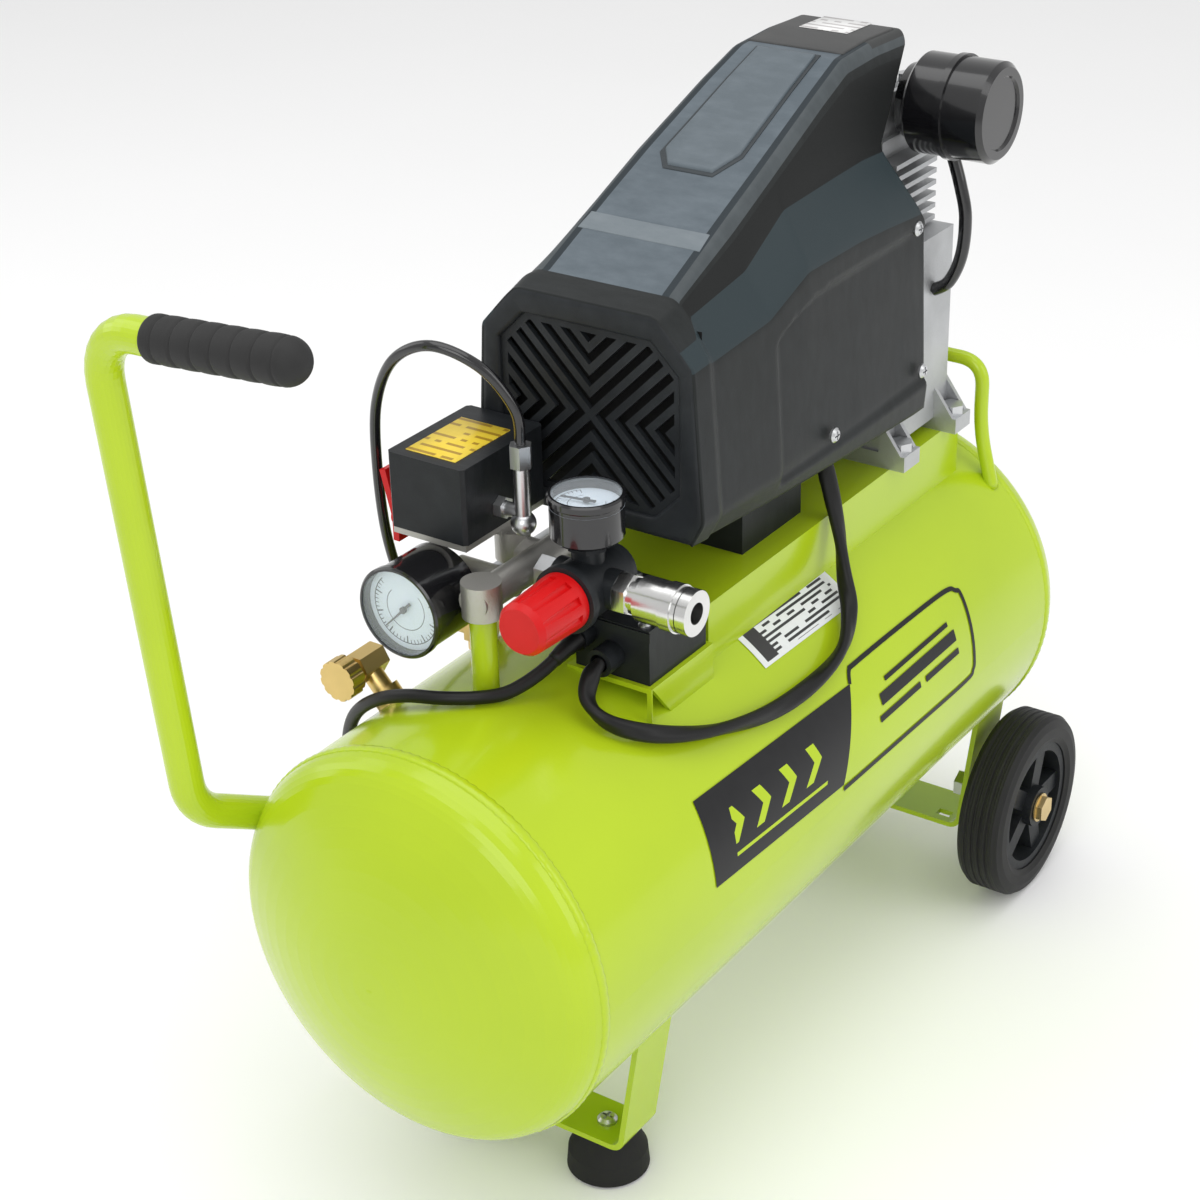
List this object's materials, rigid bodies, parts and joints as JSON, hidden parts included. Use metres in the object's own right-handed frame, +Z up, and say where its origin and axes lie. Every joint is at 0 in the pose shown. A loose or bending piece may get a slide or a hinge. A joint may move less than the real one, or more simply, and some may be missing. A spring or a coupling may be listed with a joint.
{
  "type": "air compressor",
  "caption": "Portable air compressor: horizontal green tank on two wheels and rubber feet, black motor cover, pull handle, pressure switch, regulator, gauges and quick coupler.",
  "frame": {"origin": "on the ground under the middle of the object, the cord left out", "axes": "+Z up, +Y towards the wheels and the pump, -Y towards the pull handle, +X towards the quick coupler"},
  "size_m": [0.4096, 0.6528, 0.596],
  "materials": {
    "green_paint": "gloss lime green powder coat",
    "rubber": "matte black rubber",
    "tyre_rubber": "fine grooved black rubber",
    "zinc_steel": "zinc plated",
    "gold_nut": "plain brass",
    "hub_plastic": "black moulded plastic",
    "cast_aluminium": "as cast aluminium",
    "steel": "machined steel",
    "cover_plastic": "grained dark grey plastic",
    "gloss_black": "gloss black",
    "red_plastic": "red plastic",
    "dial_white": "pale dial card",
    "lens_glass": "clear lens",
    "chrome": "polished nickel"
  },
  "bodies": {
    "frame": {"tank_shell": "green_paint", "tank_head_front": "green_paint", "tank_head_rear": "green_paint", "handle_tube": "green_paint", "handle_grip": "rubber", "rear_hoop": "green_paint", "leg_front": "green_paint", "leg_rear": "green_paint", "rubber_feet": "rubber", "axle_bolts": "zinc_steel", "axle_nuts": "gold_nut", "saddle_plate": "green_paint", "crankcase": "cast_aluminium", "crankcase_cover": "cast_aluminium", "finned_cylinder": "cast_aluminium", "cylinder_head": "cast_aluminium", "hex_bolts": "zinc_steel", "motor_stator": "cast_aluminium", "motor_cover": "cover_plastic", "cover_grille": "cover_plastic", "cross_screws": "zinc_steel", "filter_drum": "gloss_black", "breather_hose": "rubber", "delivery_pipe": "cast_aluminium", "check_valve": "gold_nut", "relief_tube": "rubber", "pipe_fittings": "zinc_steel", "switch_case": "cover_plastic", "switch_base": "zinc_steel", "standpipe": "green_paint", "manifold": "cast_aluminium", "tank_gauge_case": "gloss_black", "outlet_gauge_case": "gloss_black", "gauge_dials": "dial_white", "gauge_lenses": "lens_glass", "regulator_body": "cover_plastic", "coupler_body": "chrome", "brass_valve": "gold_nut", "junction_box": "cover_plastic", "box_bracket": "green_paint", "motor_cable": "rubber", "power_cord": "rubber", "cord_coil": "rubber", "plug": "cover_plastic"},
    "wheel_right": {"wheel_hub_right": "hub_plastic", "tyre_right": "tyre_rubber"},
    "wheel_left": {"wheel_hub_left": "hub_plastic", "tyre_left": "tyre_rubber"},
    "crank": {"crankshaft": "steel", "motor_rotor": "cast_aluminium", "cooling_fan": "cover_plastic"},
    "piston": {"connecting_rod": "cast_aluminium", "piston": "cast_aluminium"},
    "lever": {"switch_lever": "red_plastic"},
    "tank_needle": {"tank_gauge_needle": "steel"},
    "outlet_needle": {"outlet_gauge_needle": "steel"},
    "knob": {"regulator_knob": "red_plastic"},
    "sleeve": {"coupler_sleeve": "chrome"},
    "wheel_valve": {"valve_wheel": "gold_nut"},
    "drain": {"drain_valve": "gold_nut"}
  },
  "joints": [
    {"name": "wheel_right_spin", "type": "hinge", "parent": "frame", "child": "wheel_right", "pos_m": [0.1145, 0.257, 0.0635], "axis": [1, 0, 0], "continuous": true},
    {"name": "wheel_left_spin", "type": "hinge", "parent": "frame", "child": "wheel_left", "pos_m": [-0.1145, 0.257, 0.0635], "axis": [1, 0, 0], "continuous": true},
    {"name": "crank_spin", "type": "hinge", "parent": "frame", "child": "crank", "pos_m": [0, 0.045, 0.425], "axis": [0, 1, 0], "continuous": true},
    {"name": "piston_slide", "type": "slide", "parent": "frame", "child": "piston", "axis": [0, 0, 1], "range_m": [0, 0.036]},
    {"name": "lever_turn", "type": "hinge", "parent": "frame", "child": "lever", "pos_m": [-0.083, -0.136, 0.391], "axis": [1, 0, 0], "range_deg": [0, 35]},
    {"name": "tank_needle_turn", "type": "hinge", "parent": "frame", "child": "tank_needle", "pos_m": [-0.049, -0.18, 0.362], "axis": [0, -1, 0], "range_deg": [-270, 0], "stiffness_Nm_per_rad": 0.00002},
    {"name": "outlet_needle_turn", "type": "hinge", "parent": "frame", "child": "outlet_needle", "pos_m": [0.031, -0.122, 0.423], "axis": [0, 0, 1], "range_deg": [-270, 0], "stiffness_Nm_per_rad": 0.00002},
    {"name": "regulator_knob_turn", "type": "hinge", "parent": "frame", "child": "knob", "pos_m": [0.031, -0.165, 0.374], "axis": [0, -1, 0], "range_deg": [-540, 540]},
    {"name": "coupler_sleeve_slide", "type": "slide", "parent": "frame", "child": "sleeve", "axis": [-1, 0, 0], "range_m": [0, 0.005], "stiffness_N_per_m": 800},
    {"name": "brass_valve_turn", "type": "hinge", "parent": "frame", "child": "wheel_valve", "pos_m": [-0.094, -0.182, 0.308], "axis": [0, -1, 0], "range_deg": [0, 360]},
    {"name": "drain_turn", "type": "hinge", "parent": "frame", "child": "drain", "pos_m": [0, 0.02, 0.07], "axis": [0, 0, -1], "range_deg": [0, 720]}
  ]
}
